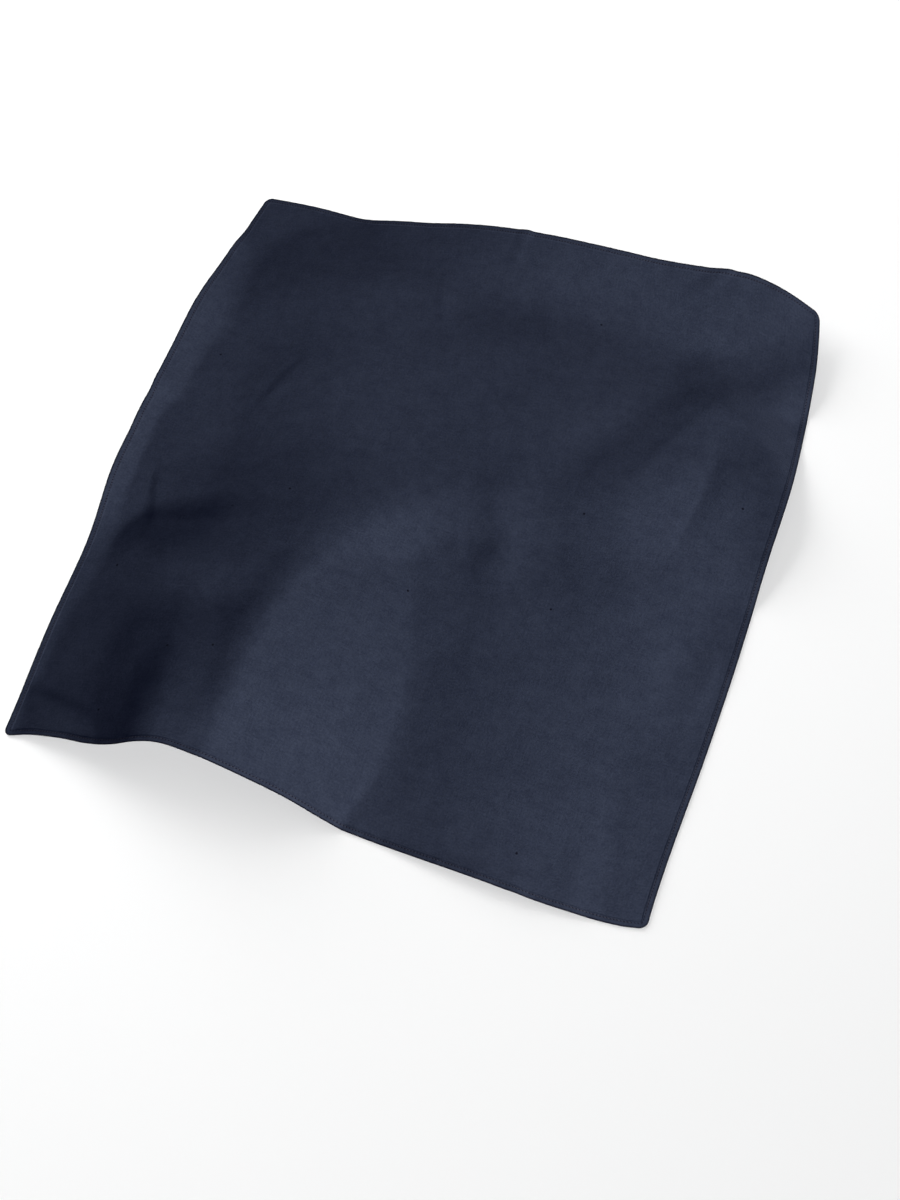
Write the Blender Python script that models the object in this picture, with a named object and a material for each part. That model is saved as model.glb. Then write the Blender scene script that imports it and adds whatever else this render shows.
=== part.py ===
"""A plain square bandana of woven cotton, laid loosely on a flat surface.

One square of cloth with a narrow turned hem on each side. The cloth rests on the surface in its
valleys and stands clear of it under its soft folds. +X runs along the near hem, +Y goes to the far
hem, +Z is up, and the origin is under the middle of the cloth, on the surface. Run this file with
Blender: it clears the scene and leaves one object for each piece.
"""

from collections import namedtuple

import bpy
import numpy as np

MM = 0.001

# Driving dimensions, in metres.
PANEL_WALL = 0.0012
HEM_WALL = 0.0018
HEM_WIDTH = 0.0055
SEAM_GAP = 0.0003
CORNER_ROUND = 0.006
PANEL_CELLS = 42
HEM_CELLS = 42

# Where the four corners of the laid cloth are, in millimetres. Near is -Y and left is -X.
Corner = namedtuple("Corner", "x y")
NEAR_LEFT = Corner(-265, -286)
NEAR_RIGHT = Corner(264, -285)
FAR_LEFT = Corner(-264, 287)
FAR_RIGHT = Corner(262, 269)

# How far each hem bows out of the straight line between its corners: the share of the way along
# (left to right, or near to far) and the distance out, in millimetres.
Bow = namedtuple("Bow", "share out")
NEAR_BOW = [
    Bow(0, 0), Bow(0.04, -5), Bow(0.10, -7), Bow(0.15, -6), Bow(0.20, -8), Bow(0.27, -15),
    Bow(0.33, -14), Bow(0.40, -13), Bow(0.46, -11), Bow(0.53, -6), Bow(0.60, -3), Bow(0.70, 1),
    Bow(0.84, 5), Bow(0.95, 4), Bow(1, 0),
]
FAR_BOW = [
    Bow(0, 0), Bow(0.10, 3), Bow(0.20, 2), Bow(0.30, 7), Bow(0.40, 12), Bow(0.55, 14), Bow(0.70, 16),
    Bow(0.80, 18), Bow(0.88, 18), Bow(0.95, 9), Bow(1, 0),
]
LEFT_BOW = [
    Bow(0, 0), Bow(0.06, 2), Bow(0.18, 7), Bow(0.32, 9), Bow(0.45, 15), Bow(0.55, 16), Bow(0.70, 13),
    Bow(0.80, 11), Bow(0.90, 7), Bow(0.95, 4), Bow(1, 0),
]
RIGHT_BOW = [
    Bow(0, 0), Bow(0.04, 0), Bow(0.12, 2), Bow(0.25, 7), Bow(0.40, 11), Bow(0.55, 13), Bow(0.68, 16),
    Bow(0.80, 14), Bow(0.90, 10), Bow(0.96, 5), Bow(1, 0),
]

# The folds. Each is a ridge, or a trough where its height is negative, along a curve through its
# rows. A row has its place and height in millimetres, how far the slope runs to the left and to the
# right of the direction of travel, how soft the slope's foot is on each side (0 crisp, 1 soft), and
# the share of the slopes, from the ridge down, that is rounded.
Fold = namedtuple("Fold", "x y height left right left_foot right_foot rounding")
FOLDS = {
    # From the near hem to the middle, with the broad fan of cloth on its right.
    "crest": [
        Fold(-92, -300, 54, 192, 126, 0.15, 0.05, 0.08),
        Fold(-93, -228, 52, 192, 133, 0.15, 0.05, 0.08),
        Fold(-92, -165, 46, 203, 136, 0.15, 0.05, 0.08),
        Fold(-86, -114, 37, 208, 134, 0.2, 0.05, 0.08),
        Fold(-72, -66, 25, 184, 128, 0.3, 0.05, 0.1),
        Fold(-48, -18, 13, 140, 96, 0.4, 0.1, 0.12),
        Fold(-26, 8, 7, 90, 82, 0.5, 0.1, 0.2),
        Fold(-6, 25, 1, 50, 60, 0.5, 0.2, 0.3),
    ],
    # It goes on from the crest to the right hem, past the tent's top below the far right corner.
    "brow": [
        Fold(-30, 0, 6, 120, 60, 0.3, 0.3, 0.3),
        Fold(10, 34, 10, 150, 60, 0.3, 0.3, 0.3),
        Fold(60, 66, 14, 200, 95, 0.2, 0.4, 0.3),
        Fold(120, 86, 17, 180, 120, 0.2, 0.4, 0.4),
        Fold(165, 114, 15, 140, 130, 0.3, 0.3, 0.4),
        Fold(203, 149, 14, 80, 140, 0.3, 0.3, 0.3),
        Fold(230, 143, 14, 56, 140, 0.3, 0.3, 0.2),
        Fold(254, 116, 18, 56, 130, 0.3, 0.3, 0.2),
        Fold(275, 84, 23, 66, 104, 0.3, 0.3, 0.2),
        Fold(298, 50, 23, 76, 84, 0.3, 0.3, 0.2),
    ],
    # The left edge of the tent, from its top towards the right hem, with its broad face on the left.
    "tent": [
        Fold(200, 152, 2, 100, 40, 0.4, 0.3, 0.2),
        Fold(176, 108, 7, 120, 60, 0.3, 0.4, 0.2),
        Fold(162, 60, 10, 125, 80, 0.2, 0.4, 0.2),
        Fold(170, 5, 12, 120, 90, 0.2, 0.4, 0.2),
        Fold(190, -38, 10, 90, 80, 0.2, 0.4, 0.2),
        Fold(216, -78, 6, 62, 70, 0.2, 0.4, 0.2),
        Fold(228, -118, 2, 44, 50, 0.2, 0.4, 0.2),
    ],
    # The far hem stands up from its middle to the far right corner.
    "far_lift": [
        Fold(-118, 318, 7, 60, 70, 0.4, 0.4, 0.3),
        Fold(-75, 316, 18, 60, 85, 0.4, 0.4, 0.2),
        Fold(-20, 314, 30, 90, 108, 0.4, 0.4, 0.05),
        Fold(60, 314, 34, 110, 104, 0.4, 0.4, 0.05),
        Fold(130, 314, 38, 110, 98, 0.4, 0.4, 0.05),
        Fold(190, 312, 47, 75, 102, 0.4, 0.3, 0.05),
        Fold(228, 300, 43, 60, 104, 0.4, 0.2, 0.05),
        Fold(264, 268, 29, 60, 84, 0.4, 0.2, 0.05),
        Fold(282, 224, 18, 60, 64, 0.4, 0.2, 0.05),
    ],
    # The left hem stands up beside the dome, and again below it.
    "left_lift": [
        Fold(-300, 215, 14, 60, 80, 0.4, 0.4, 0.3),
        Fold(-297, 140, 25, 60, 90, 0.4, 0.4, 0.3),
        Fold(-294, 65, 18, 60, 75, 0.4, 0.4, 0.3),
    ],
    "left_lobe": [
        Fold(-298, 10, 18, 46, 62, 0.2, 0.4, 0.3),
        Fold(-294, -45, 21, 43, 62, 0.2, 0.4, 0.3),
        Fold(-288, -90, 8, 40, 55, 0.2, 0.4, 0.3),
        Fold(-286, -140, 3, 36, 50, 0.3, 0.4, 0.3),
    ],
    # The broad low dome of the far half.
    "dome": [
        Fold(-138, -5, 8, 120, 120, 0.3, 0.4, 0.3),
        Fold(-124, 70, 12, 150, 140, 0.3, 0.4, 0.3),
        Fold(-90, 150, 15, 215, 150, 0.2, 0.4, 0.3),
        Fold(-20, 195, 15, 185, 165, 0.3, 0.4, 0.3),
        Fold(60, 210, 12, 200, 190, 0.4, 0.4, 0.3),
        Fold(130, 214, 10, 150, 150, 0.4, 0.4, 0.3),
        Fold(164, 214, 6, 80, 80, 0.4, 0.4, 0.3),
    ],
    # The low swell between the fan's foot and the right hem.
    "right_swell": [
        Fold(98, -20, 8, 90, 95, 0.3, 0.1, 0.4),
        Fold(116, -60, 9, 110, 118, 0.3, 0.05, 0.5),
        Fold(132, -110, 9, 120, 142, 0.2, 0.05, 0.5),
        Fold(138, -190, 10, 118, 146, 0.2, 0.05, 0.45),
        Fold(142, -290, 11, 108, 132, 0.2, 0.05, 0.35),
    ],
    # The lap beside the left hem, where the crest's flank stands over the foot of the dome.
    "lap": [
        Fold(-252, -66, 0, 50, 40, 0.2, 0.4, 0.3),
        Fold(-224, -92, 5, 70, 50, 0.1, 0.4, 0.3),
        Fold(-170, -99, 8, 74, 60, 0.1, 0.4, 0.3),
        Fold(-128, -95, 6, 70, 50, 0.1, 0.4, 0.3),
        Fold(-100, -80, 0, 50, 40, 0.2, 0.4, 0.3),
    ],
    # The steep foot of the flank above the near left corner.
    "flank_face": [
        Fold(-172, -136, 0, 50, 60, 0.3, 0.4, 0.3),
        Fold(-157, -190, 5, 52, 60, 0.3, 0.4, 0.3),
        Fold(-145, -245, 9, 56, 50, 0.3, 0.4, 0.3),
        Fold(-142, -296, 9, 56, 48, 0.3, 0.4, 0.3),
    ],
    # The corner of cloth beyond the dome falls away to the far left.
    "far_left_brow": [
        Fold(-268, 150, 3, 110, 70, 0.4, 0.6, 0.3),
        Fold(-204, 194, 6, 130, 90, 0.4, 0.6, 0.3),
        Fold(-132, 220, 6, 120, 100, 0.4, 0.6, 0.3),
        Fold(-84, 236, 3, 90, 70, 0.4, 0.6, 0.3),
    ],
    # The right hem hangs down beside the foot of the tent.
    "right_droop": [
        Fold(258, -20, 0, 16, 30, 0.4, 0.6, 0.3),
        Fold(259, -50, 3, 16, 34, 0.2, 0.6, 0.1),
        Fold(257, -84, 4, 17, 36, 0.2, 0.6, 0.1),
        Fold(252, -122, 2, 18, 34, 0.4, 0.6, 0.3),
        Fold(246, -150, 0, 18, 30, 0.4, 0.6, 0.3),
    ],
}
REST_DROP = 4.4  # the folds' sum is lowered by this much, so that the valleys lie on the surface
REST_BLEND = 1.5  # half the height over which a valley's floor turns into its slope
SPREAD_BLEND = 9.0  # how softly a point between two stretches of a curved fold shares them
SIDE_TURN = 1.3  # how fast one side of a fold takes over from the other round the fold's ends
SPAN_SAMPLES = 14

NAVY = (0.022, 0.026, 0.046, 1.0)
NAVY_HEM = (0.018, 0.021, 0.038, 1.0)
CLOTH_ROUGHNESS = 0.85


def smooth_rows(rows):
    """Points on the Catmull-Rom curve through the rows, with every column carried along."""
    known = np.array(rows, float)
    known = np.vstack([2 * known[0] - known[1], known, 2 * known[-1] - known[-2]])
    steps = np.linspace(0, 1, SPAN_SAMPLES, endpoint=False)[:, None]
    spans = []
    for before, start, end, after in zip(known, known[1:], known[2:], known[3:]):
        spans.append(
            start
            + 0.5 * steps * (end - before)
            + steps**2 * (before - 2.5 * start + 2 * end - 0.5 * after)
            + 0.5 * steps**3 * (3 * start - before - 3 * end + after)
        )
    return np.vstack([*spans, known[-2:-1]])


def slope_profile(run, rounding, foot):
    """Height of a slope, 1 at its ridge and 0 at its foot, where run goes from 0 to 1."""
    run = np.clip(run, 0, 1)
    whole = 1 - rounding / 2 - foot / 2
    rounded = run**2 / (2 * rounding)
    straight = run - rounding / 2
    footing = whole - (1 - run) ** 2 / (2 * foot)
    drop = np.where(run < rounding, rounded, np.where(run < 1 - foot, straight, footing))
    return 1 - drop / whole


def fold_height(x, y, rows):
    """Height that one fold adds at each place."""
    spine = smooth_rows(rows)
    travel = np.gradient(spine[:, :2], axis=0)
    travel /= np.linalg.norm(travel, axis=1, keepdims=True)
    east = x[..., None] - spine[:, 0]
    north = y[..., None] - spine[:, 1]
    distance = np.hypot(east, north)
    nearest = distance.min(-1)
    weight = np.exp((nearest[..., None] - distance) / SPREAD_BLEND)
    weight /= weight.sum(-1, keepdims=True)
    rightward = (east * travel[:, 1] - north * travel[:, 0]) / np.maximum(distance, 1e-6)
    right_share = 0.5 + 0.5 * np.clip(SIDE_TURN * (weight * rightward).sum(-1), -1, 1)
    column = {name: weight @ spine[:, i] for i, name in enumerate(Fold._fields)}
    reach = column["left"] * (1 - right_share) + column["right"] * right_share
    foot = column["left_foot"] * (1 - right_share) + column["right_foot"] * right_share
    return column["height"] * slope_profile(nearest / reach, column["rounding"], foot)


def relief(x, y):
    """Height of the cloth's underside over the surface, all in millimetres."""
    height = sum(fold_height(x, y, rows) for rows in FOLDS.values()) - REST_DROP
    blend = (height + REST_BLEND) ** 2 / (4 * REST_BLEND)
    return np.where(height > REST_BLEND, height, np.where(height < -REST_BLEND, 0, blend))


def side_length(start, end):
    return np.hypot(end.x - start.x, end.y - start.y) * MM


def hem_line(start, end, bows, share, outward):
    """Points on the outline between two corners; outward is 1 where out is right of the travel."""
    curve = smooth_rows(bows)
    out = np.interp(share, curve[:, 0], curve[:, 1]) * outward
    along = np.array([end.x - start.x, end.y - start.y], float)
    unit = along / np.linalg.norm(along)
    normal = np.array([unit[1], -unit[0]])
    return np.array([start.x, start.y]) + share[..., None] * along + out[..., None] * normal


def rounded_corners(across, along):
    """Moves shares near a corner inwards, so that the cloth's corners are round."""
    radius = CORNER_ROUND / side_length(NEAR_LEFT, NEAR_RIGHT)
    from_side = np.minimum(across, 1 - across)
    from_end = np.minimum(along, 1 - along)
    into_x = np.clip(radius - from_side, 0, None)
    into_y = np.clip(radius - from_end, 0, None)
    pull = np.maximum(into_x, into_y) / np.maximum(np.hypot(into_x, into_y), 1e-9)
    pull = np.where((into_x > 0) & (into_y > 0), pull, 1)
    from_side = np.where(into_x > 0, radius - into_x * pull, from_side)
    from_end = np.where(into_y > 0, radius - into_y * pull, from_end)
    return (
        np.where(across < 0.5, from_side, 1 - from_side),
        np.where(along < 0.5, from_end, 1 - from_end),
    )


def cloth_points(across, along):
    """Points of the underside, in metres, at shares of the way across (left to right) and along."""
    across, along = rounded_corners(across, along)
    near = hem_line(NEAR_LEFT, NEAR_RIGHT, NEAR_BOW, across, 1)
    far = hem_line(FAR_LEFT, FAR_RIGHT, FAR_BOW, across, -1)
    left = hem_line(NEAR_LEFT, FAR_LEFT, LEFT_BOW, along, -1)
    right = hem_line(NEAR_RIGHT, FAR_RIGHT, RIGHT_BOW, along, 1)
    s, t = across[..., None], along[..., None]
    corners = (
        (1 - s) * (1 - t) * np.array(NEAR_LEFT)
        + s * (1 - t) * np.array(NEAR_RIGHT)
        + (1 - s) * t * np.array(FAR_LEFT)
        + s * t * np.array(FAR_RIGHT)
    )
    plan = (1 - t) * near + t * far + (1 - s) * left + s * right - corners
    height = relief(plan[..., 0], plan[..., 1])
    return np.concatenate([plan, height[..., None]], axis=-1) * MM


def wall_mesh(under, thickness):
    """Points and faces of the closed wall over a grid of underside points."""
    rows, columns = under.shape[:2]
    count = rows * columns
    over = under + np.array([0, 0, thickness])
    points = np.vstack([under.reshape(-1, 3), over.reshape(-1, 3)])
    index = np.arange(count).reshape(rows, columns)
    faces = []
    for row in range(rows - 1):
        for column in range(columns - 1):
            a, b = index[row, column], index[row, column + 1]
            c, d = index[row + 1, column + 1], index[row + 1, column]
            faces.append((a, d, c, b))
            faces.append((count + a, count + b, count + c, count + d))
    rim = [*index[0], *index[1:, -1], *index[-1, -2::-1], *index[-2:0:-1, 0]]
    for this, following in zip(rim, rim[1:] + rim[:1]):
        faces.append((this, following, count + following, count + this))
    return points, [tuple(int(i) for i in face) for face in faces]


def panel_grid():
    """Underside of the cloth inside its hems."""
    width = side_length(NEAR_LEFT, NEAR_RIGHT)
    length = side_length(NEAR_LEFT, FAR_LEFT)
    inset = HEM_WIDTH + SEAM_GAP
    across = np.linspace(inset / width, 1 - inset / width, PANEL_CELLS + 1)
    along = np.linspace(inset / length, 1 - inset / length, PANEL_CELLS + 1)
    across, along = np.meshgrid(across, along)
    return cloth_points(across, along)


def hem_grid(side):
    """Underside of one hem, a strip along its side with mitred ends. Rows go from left to right
    on the near and far hems and from near to far on the others, so that +Z is its face."""
    width = side_length(NEAR_LEFT, NEAR_RIGHT)
    length = side_length(NEAR_LEFT, FAR_LEFT)
    inwards = np.array([0, HEM_WIDTH])
    run = np.linspace(0, 1, HEM_CELLS + 1)
    inwards, run = np.meshgrid(inwards, run, indexing="ij")
    mitre = inwards + SEAM_GAP
    if side in ("near", "far"):
        across = mitre / width + run * (1 - 2 * mitre / width)
        along = inwards / length
        if side == "far":
            along = 1 - along[::-1]
            across = across[::-1]
    else:
        along = mitre / length + run * (1 - 2 * mitre / length)
        across = inwards / width
        if side == "right":
            across = 1 - across
        else:
            across = across[::-1]
            along = along[::-1]
    return cloth_points(across, along)


def add_piece(name, under, thickness, material):
    points, faces = wall_mesh(under, thickness)
    mesh = bpy.data.meshes.new(name)
    mesh.from_pydata(points.tolist(), [], faces)
    mesh.materials.append(material)
    mesh.shade_smooth()
    piece = bpy.data.objects.new(name, mesh)
    bpy.context.scene.collection.objects.link(piece)
    return piece


def cloth_material(name, colour):
    material = bpy.data.materials.new(name)
    material.use_nodes = True
    shader = material.node_tree.nodes["Principled BSDF"]
    shader.inputs["Base Color"].default_value = colour
    shader.inputs["Roughness"].default_value = CLOTH_ROUGHNESS
    shader.inputs["Metallic"].default_value = 0.0
    return material


def clear_scene():
    for piece in list(bpy.data.objects):
        bpy.data.objects.remove(piece)


def main():
    clear_scene()
    hems = {side: hem_grid(side) for side in ("near", "right", "far", "left")}
    outline = np.vstack([grid.reshape(-1, 3) for grid in hems.values()])
    middle = (outline.min(0) + outline.max(0)) / 2
    middle[2] = 0
    cloth = cloth_material("cotton", NAVY)
    hem_cloth = cloth_material("cotton_hem", NAVY_HEM)
    add_piece("panel", panel_grid() - middle, PANEL_WALL, cloth)
    for side, grid in hems.items():
        add_piece(f"hem_{side}", grid - middle, HEM_WALL, hem_cloth)


main()
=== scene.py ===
"""A plain square bandana of navy cotton, laid loosely on a pale surface, as it looks.

The cloth is a thin woven shell on the form of the CAD wall: the same corners, bowed hems and folds,
with the narrow creases and the slight unevenness of real cloth added. Four turned hems hold its
edge, each with a line of lockstitch on both faces.
"""

import math
from collections import namedtuple

import bmesh
import bpy
import numpy as np
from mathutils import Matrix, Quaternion, Vector


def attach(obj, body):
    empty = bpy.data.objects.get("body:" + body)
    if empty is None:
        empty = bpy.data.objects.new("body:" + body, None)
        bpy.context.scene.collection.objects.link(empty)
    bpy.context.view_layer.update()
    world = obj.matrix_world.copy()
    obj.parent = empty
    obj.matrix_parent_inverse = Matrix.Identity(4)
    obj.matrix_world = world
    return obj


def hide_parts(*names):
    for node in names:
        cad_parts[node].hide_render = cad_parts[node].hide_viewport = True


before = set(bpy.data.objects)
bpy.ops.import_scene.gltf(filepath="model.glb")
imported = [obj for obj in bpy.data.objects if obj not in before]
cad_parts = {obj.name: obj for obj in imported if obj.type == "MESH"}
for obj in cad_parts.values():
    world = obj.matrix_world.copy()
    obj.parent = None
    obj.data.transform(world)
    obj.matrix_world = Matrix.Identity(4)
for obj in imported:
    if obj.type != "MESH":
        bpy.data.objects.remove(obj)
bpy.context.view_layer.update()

MM = 0.001

# Where the four corners of the laid cloth are, in millimetres. Near is -Y and left is -X.
Corner = namedtuple("Corner", "x y")
NEAR_LEFT = Corner(-265, -286)
NEAR_RIGHT = Corner(264, -285)
FAR_LEFT = Corner(-264, 287)
FAR_RIGHT = Corner(262, 269)
CORNER_ROUND = 6  # radius of the cloth's round corners
OUTLINE_SAMPLES = 43  # places on each hem that the outline's box is taken from

# How far each hem bows out of the straight line between its corners: the share of the way along
# (left to right, or near to far) and the distance out, in millimetres.
Bow = namedtuple("Bow", "share out")
NEAR_BOW = [
    Bow(0, 0), Bow(0.04, -5), Bow(0.10, -7), Bow(0.15, -6), Bow(0.20, -8), Bow(0.27, -15),
    Bow(0.33, -14), Bow(0.40, -13), Bow(0.46, -11), Bow(0.53, -6), Bow(0.60, -3), Bow(0.70, 1),
    Bow(0.84, 5), Bow(0.95, 4), Bow(1, 0),
]
FAR_BOW = [
    Bow(0, 0), Bow(0.10, 3), Bow(0.20, 2), Bow(0.30, 7), Bow(0.40, 12), Bow(0.55, 14), Bow(0.70, 16),
    Bow(0.80, 18), Bow(0.88, 18), Bow(0.95, 9), Bow(1, 0),
]
LEFT_BOW = [
    Bow(0, 0), Bow(0.06, 2), Bow(0.18, 7), Bow(0.32, 9), Bow(0.45, 15), Bow(0.55, 16), Bow(0.70, 13),
    Bow(0.80, 11), Bow(0.90, 7), Bow(0.95, 4), Bow(1, 0),
]
RIGHT_BOW = [
    Bow(0, 0), Bow(0.04, 0), Bow(0.12, 2), Bow(0.25, 7), Bow(0.40, 11), Bow(0.55, 13), Bow(0.68, 16),
    Bow(0.80, 14), Bow(0.90, 10), Bow(0.96, 5), Bow(1, 0),
]

# The folds. Each is a ridge, or a trough where its height is negative, along a curve through its
# rows. A row has its place and height in millimetres, how far the slope runs to the left and to the
# right of the direction of travel, how soft the slope's foot is on each side (0 crisp, 1 soft), and
# the share of the slopes, from the ridge down, that is rounded.
Fold = namedtuple("Fold", "x y height left right left_foot right_foot rounding")

# The broad folds, as the CAD wall has them.
FOLDS = {
    # From the near hem to the middle, with the broad fan of cloth on its right.
    "crest": [
        Fold(-92, -300, 54, 192, 126, 0.15, 0.05, 0.08),
        Fold(-93, -228, 52, 192, 133, 0.15, 0.05, 0.08),
        Fold(-92, -165, 46, 203, 136, 0.15, 0.05, 0.08),
        Fold(-86, -114, 37, 208, 134, 0.2, 0.05, 0.08),
        Fold(-72, -66, 25, 184, 128, 0.3, 0.05, 0.1),
        Fold(-48, -18, 13, 140, 96, 0.4, 0.1, 0.12),
        Fold(-26, 8, 7, 90, 82, 0.5, 0.1, 0.2),
        Fold(-6, 25, 1, 50, 60, 0.5, 0.2, 0.3),
    ],
    # It goes on from the crest to the right hem, past the tent's top below the far right corner.
    "brow": [
        Fold(-30, 0, 6, 120, 60, 0.3, 0.3, 0.3),
        Fold(10, 34, 10, 150, 60, 0.3, 0.3, 0.3),
        Fold(60, 66, 14, 200, 95, 0.2, 0.4, 0.3),
        Fold(120, 86, 17, 180, 120, 0.2, 0.4, 0.4),
        Fold(165, 114, 15, 140, 130, 0.3, 0.3, 0.4),
        Fold(203, 149, 14, 80, 140, 0.3, 0.3, 0.3),
        Fold(230, 143, 14, 56, 140, 0.3, 0.3, 0.2),
        Fold(254, 116, 18, 56, 130, 0.3, 0.3, 0.2),
        Fold(275, 84, 23, 66, 104, 0.3, 0.3, 0.2),
        Fold(298, 50, 23, 76, 84, 0.3, 0.3, 0.2),
    ],
    # The left edge of the tent, from its top towards the right hem, with its broad face on the left.
    "tent": [
        Fold(200, 152, 2, 100, 40, 0.4, 0.3, 0.2),
        Fold(176, 108, 7, 120, 60, 0.3, 0.4, 0.2),
        Fold(162, 60, 10, 125, 80, 0.2, 0.4, 0.2),
        Fold(170, 5, 12, 120, 90, 0.2, 0.4, 0.2),
        Fold(190, -38, 10, 90, 80, 0.2, 0.4, 0.2),
        Fold(216, -78, 6, 62, 70, 0.2, 0.4, 0.2),
        Fold(228, -118, 2, 44, 50, 0.2, 0.4, 0.2),
    ],
    # The far hem stands up from its middle to the far right corner.
    "far_lift": [
        Fold(-118, 318, 7, 60, 70, 0.4, 0.4, 0.3),
        Fold(-75, 316, 18, 60, 85, 0.4, 0.4, 0.2),
        Fold(-20, 314, 30, 90, 108, 0.4, 0.4, 0.05),
        Fold(60, 314, 34, 110, 104, 0.4, 0.4, 0.05),
        Fold(130, 314, 38, 110, 98, 0.4, 0.4, 0.05),
        Fold(190, 312, 47, 75, 102, 0.4, 0.3, 0.05),
        Fold(228, 300, 43, 60, 104, 0.4, 0.2, 0.05),
        Fold(264, 268, 29, 60, 84, 0.4, 0.2, 0.05),
        Fold(282, 224, 18, 60, 64, 0.4, 0.2, 0.05),
    ],
    # The left hem stands up beside the dome, and again below it.
    "left_lift": [
        Fold(-300, 215, 14, 60, 80, 0.4, 0.4, 0.3),
        Fold(-297, 140, 25, 60, 90, 0.4, 0.4, 0.3),
        Fold(-294, 65, 18, 60, 75, 0.4, 0.4, 0.3),
    ],
    "left_lobe": [
        Fold(-298, 10, 18, 46, 62, 0.2, 0.4, 0.3),
        Fold(-294, -45, 21, 43, 62, 0.2, 0.4, 0.3),
        Fold(-288, -90, 8, 40, 55, 0.2, 0.4, 0.3),
        Fold(-286, -140, 3, 36, 50, 0.3, 0.4, 0.3),
    ],
    # The broad low dome of the far half.
    "dome": [
        Fold(-138, -5, 8, 120, 120, 0.3, 0.4, 0.3),
        Fold(-124, 70, 12, 150, 140, 0.3, 0.4, 0.3),
        Fold(-90, 150, 15, 215, 150, 0.2, 0.4, 0.3),
        Fold(-20, 195, 15, 185, 165, 0.3, 0.4, 0.3),
        Fold(60, 210, 12, 200, 190, 0.4, 0.4, 0.3),
        Fold(130, 214, 10, 150, 150, 0.4, 0.4, 0.3),
        Fold(164, 214, 6, 80, 80, 0.4, 0.4, 0.3),
    ],
    # The low swell between the fan's foot and the right hem.
    "right_swell": [
        Fold(98, -20, 8, 90, 95, 0.3, 0.1, 0.4),
        Fold(116, -60, 9, 110, 118, 0.3, 0.05, 0.5),
        Fold(132, -110, 9, 120, 142, 0.2, 0.05, 0.5),
        Fold(138, -190, 10, 118, 146, 0.2, 0.05, 0.45),
        Fold(142, -290, 11, 108, 132, 0.2, 0.05, 0.35),
    ],
    # The lap beside the left hem, where the crest's flank stands over the foot of the dome.
    "lap": [
        Fold(-252, -66, 0, 50, 40, 0.2, 0.4, 0.3),
        Fold(-224, -92, 5, 70, 50, 0.1, 0.4, 0.3),
        Fold(-170, -99, 8, 74, 60, 0.1, 0.4, 0.3),
        Fold(-128, -95, 6, 70, 50, 0.1, 0.4, 0.3),
        Fold(-100, -80, 0, 50, 40, 0.2, 0.4, 0.3),
    ],
    # The steep foot of the flank above the near left corner.
    "flank_face": [
        Fold(-172, -136, 0, 50, 60, 0.3, 0.4, 0.3),
        Fold(-157, -190, 5, 52, 60, 0.3, 0.4, 0.3),
        Fold(-145, -245, 9, 56, 50, 0.3, 0.4, 0.3),
        Fold(-142, -296, 9, 56, 48, 0.3, 0.4, 0.3),
    ],
    # The corner of cloth beyond the dome falls away to the far left.
    "far_left_brow": [
        Fold(-268, 150, 3, 110, 70, 0.4, 0.6, 0.3),
        Fold(-204, 194, 6, 130, 90, 0.4, 0.6, 0.3),
        Fold(-132, 220, 6, 120, 100, 0.4, 0.6, 0.3),
        Fold(-84, 236, 3, 90, 70, 0.4, 0.6, 0.3),
    ],
    # The right hem hangs down beside the foot of the tent.
    "right_droop": [
        Fold(258, -20, 0, 16, 30, 0.4, 0.6, 0.3),
        Fold(259, -50, 3, 16, 34, 0.2, 0.6, 0.1),
        Fold(257, -84, 4, 17, 36, 0.2, 0.6, 0.1),
        Fold(252, -122, 2, 18, 34, 0.4, 0.6, 0.3),
        Fold(246, -150, 0, 18, 30, 0.4, 0.6, 0.3),
    ],
}

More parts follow.
